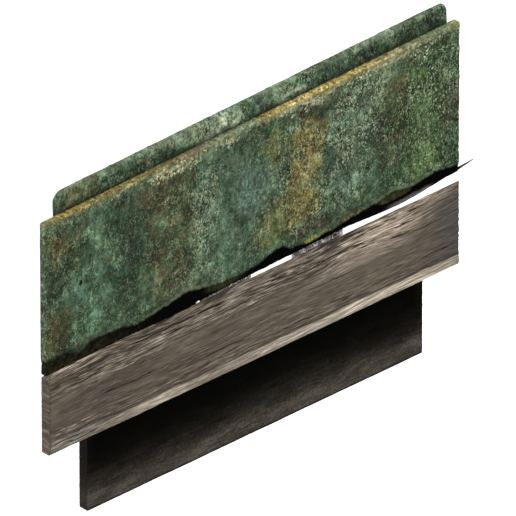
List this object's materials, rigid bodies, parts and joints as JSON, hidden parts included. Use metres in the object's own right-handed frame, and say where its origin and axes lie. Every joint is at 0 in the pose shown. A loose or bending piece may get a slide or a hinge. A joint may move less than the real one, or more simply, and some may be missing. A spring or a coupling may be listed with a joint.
{
  "type": "roof edge unit",
  "caption": "Straight roof edge unit: patinated metal panel with a rounded upstand roll behind it, weathered face board and recessed lower board on rough bearers.",
  "frame": {"origin": "centre of the back face of the first bearer, on the surface that the unit lies on", "axes": "+X along the boards, towards the split point; +Y up the face as fitted, towards the roll; +Z out of the face, up as stored"},
  "size_m": [1.038, 0.7083, 0.072],
  "materials": {
    "patinated_sheet": "pitted green patina, golden where worn",
    "patinated_roll": "pitted green patina",
    "dark_timber": "dark, rough and split",
    "weathered_timber": "weathered, open grain",
    "stained_timber": "dark stained, faint grain",
    "grey_timber": "rough sawn, grey"
  },
  "bodies": {
    "root": {"copper_face": "patinated_sheet", "backing_board": "dark_timber", "edge_roll": "patinated_roll", "face_board": "weathered_timber", "lower_board": "stained_timber", "bearer_1": "grey_timber", "bearer_2": "grey_timber"}
  },
  "joints": []
}
